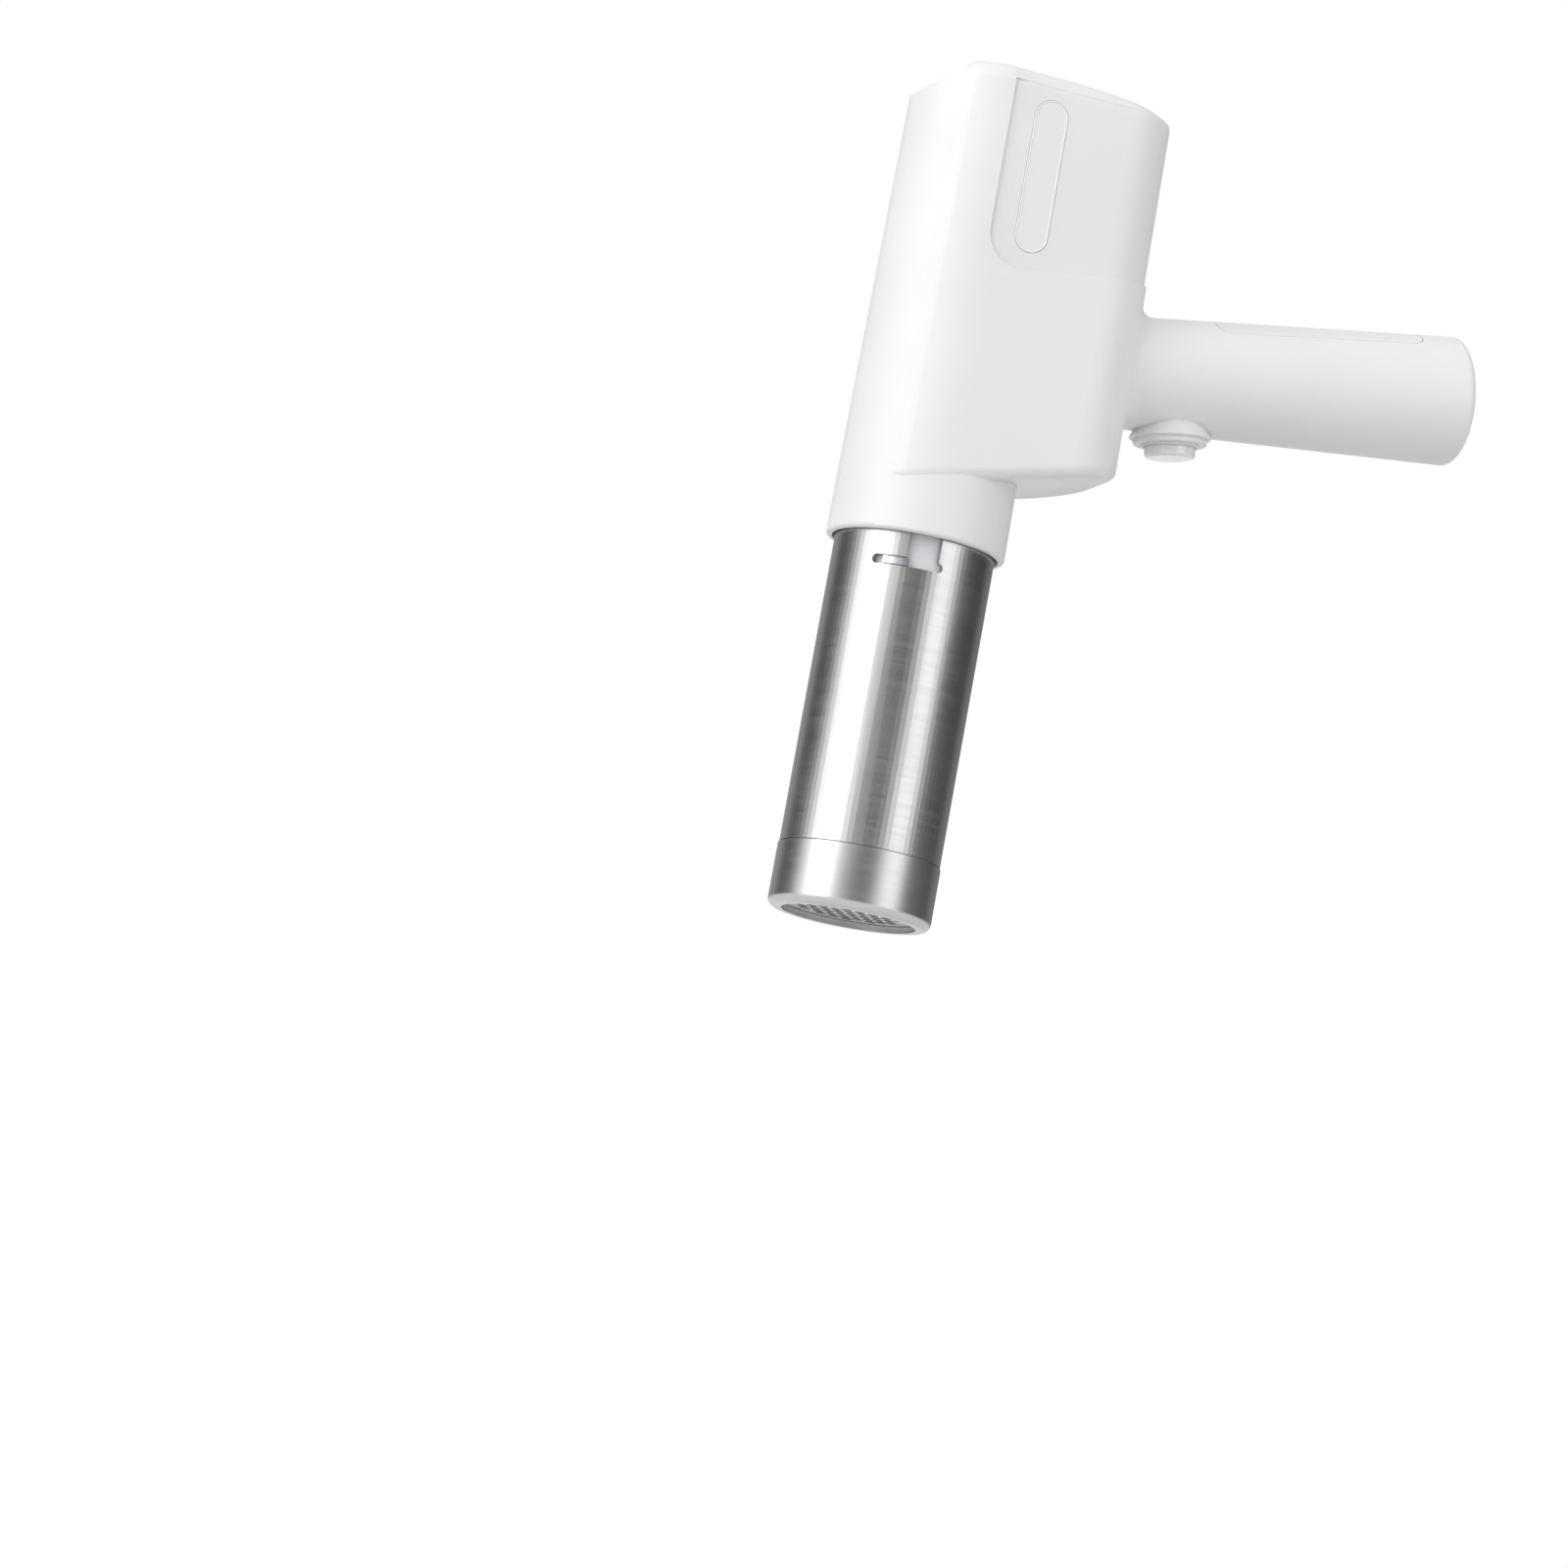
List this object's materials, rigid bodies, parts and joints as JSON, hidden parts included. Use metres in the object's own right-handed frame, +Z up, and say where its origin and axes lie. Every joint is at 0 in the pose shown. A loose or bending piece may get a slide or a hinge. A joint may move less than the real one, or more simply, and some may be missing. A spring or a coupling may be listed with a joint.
{
  "type": "electric pasta maker",
  "caption": "Cordless hand-held electric pasta maker: white motor housing with a side grip and trigger over a steel dough barrel with screw-fed piston, die and retaining cap.",
  "frame": {"origin": "centre of the retaining cap's end face, at the mouth of the barrel", "axes": "+Z up along the barrel axis towards the top cover, +X towards the grip, +Y to the right of a user who holds the grip and looks along -X"},
  "size_m": [0.2023, 0.0576, 0.2724],
  "materials": {
    "housing_plastic": "satin moulded ABS",
    "cover_plastic": "satin moulded ABS",
    "inlay_plastic": "smooth blank inlay",
    "button_plastic": "glossy push button",
    "brushed_steel": "brushed lengthwise",
    "machined_steel": "turned steel",
    "spigot_plastic": "translucent white acetal",
    "seal_rubber": "food silicone",
    "black_rubber": "soft rubber",
    "brass": "turned brass",
    "gear_plastic": "acetal",
    "dark_plastic": "moulded nylon",
    "cast_frame": "die cast",
    "motor_steel": "zinc plated",
    "board_green": "solder mask",
    "chip_black": "epoxy",
    "wire_red": "PVC insulation",
    "cell_sleeve": "shrink sleeve",
    "contact_metal": "nickel plated"
  },
  "bodies": {
    "housing": {"housing_left": "housing_plastic", "housing_right": "housing_plastic", "top_cover": "cover_plastic", "rear_cover": "cover_plastic", "side_inlay_left": "inlay_plastic", "side_inlay_right": "inlay_plastic", "housing_screws": "machined_steel", "bayonet_spigot": "spigot_plastic", "bayonet_lugs": "machined_steel", "barrel_seal": "seal_rubber", "guide_plate": "cast_frame", "guide_bush": "brass", "thrust_race_upper": "machined_steel", "thrust_balls": "machined_steel", "ball_cage": "brass", "drive_plate": "cast_frame", "gearbox_case": "machined_steel", "gearbox_screws": "machined_steel", "motor_can": "motor_steel", "motor_cap": "dark_plastic", "motor_terminals": "contact_metal", "control_board": "board_green", "board_chips": "chip_black", "motor_wires": "wire_red", "battery_wires": "wire_red", "battery_cells": "cell_sleeve", "battery_holder": "dark_plastic", "battery_contacts": "contact_metal", "charge_port": "contact_metal", "trigger_bezel": "button_plastic", "trigger_spring": "machined_steel", "switch_bracket": "dark_plastic", "microswitch": "dark_plastic"},
    "barrel": {"barrel_tube": "brushed_steel"},
    "die": {"die_plate": "machined_steel"},
    "cap": {"cap_ring": "brushed_steel"},
    "piston": {"push_plate": "spigot_plastic", "piston_ring": "seal_rubber", "piston_bolt": "machined_steel", "lead_screw": "machined_steel"},
    "nut_gear": {"drive_gear": "gear_plastic", "drive_nut": "brass", "thrust_race_lower": "machined_steel"},
    "pinion": {"drive_pinion": "machined_steel", "output_shaft": "machined_steel"},
    "trigger": {"trigger_button": "button_plastic"},
    "hatch": {"battery_cover": "cover_plastic"},
    "plug": {"port_plug": "black_rubber"}
  },
  "joints": [
    {"name": "barrel_twist", "type": "hinge", "parent": "housing", "child": "barrel", "pos_m": [0, 0, 0.1096], "axis": [0, 0, 1], "range_deg": [-20.6, 0]},
    {"name": "cap_release", "type": "slide", "parent": "barrel", "child": "die", "axis": [0, 0, -1], "range_m": [0, 0.018]},
    {"name": "cap_turn", "type": "hinge", "parent": "die", "child": "cap", "pos_m": [0, 0, 0.0099], "axis": [0, 0, 1], "range_deg": [-2161, 0.5]},
    {"name": "piston_feed", "type": "slide", "parent": "housing", "child": "piston", "axis": [0, 0, -1], "range_m": [0, 0.082]},
    {"name": "nut_spin", "type": "hinge", "parent": "housing", "child": "nut_gear", "pos_m": [0, 0, 0.1533], "axis": [0, 0, 1], "range_deg": [-0.5, 7381]},
    {"name": "pinion_spin", "type": "hinge", "parent": "housing", "child": "pinion", "pos_m": [0.034, 0, 0.1533], "axis": [0, 0, 1], "range_deg": [-13531, 0.5]},
    {"name": "trigger_press", "type": "slide", "parent": "housing", "child": "trigger", "axis": [-0.153, 0, 0.9882], "range_m": [0, 0.0026], "stiffness_N_per_m": 700, "springref_m": -0.0012, "deforming": ["trigger_spring"]},
    {"name": "battery_cover_lift", "type": "slide", "parent": "housing", "child": "hatch", "axis": [-0.153, 0, 0.9882], "range_m": [0, 0.012]},
    {"name": "port_plug_pull", "type": "slide", "parent": "housing", "child": "plug", "axis": [0.9882, 0, 0.153], "range_m": [0, 0.008]}
  ],
  "couplings": [
    {"joint": "cap_turn", "follows": "cap_release", "rad_per_m": -2094.4},
    {"joint": "nut_spin", "follows": "piston_feed", "rad_per_m": 1570.8},
    {"joint": "pinion_spin", "follows": "piston_feed", "rad_per_m": -2879.8}
  ]
}
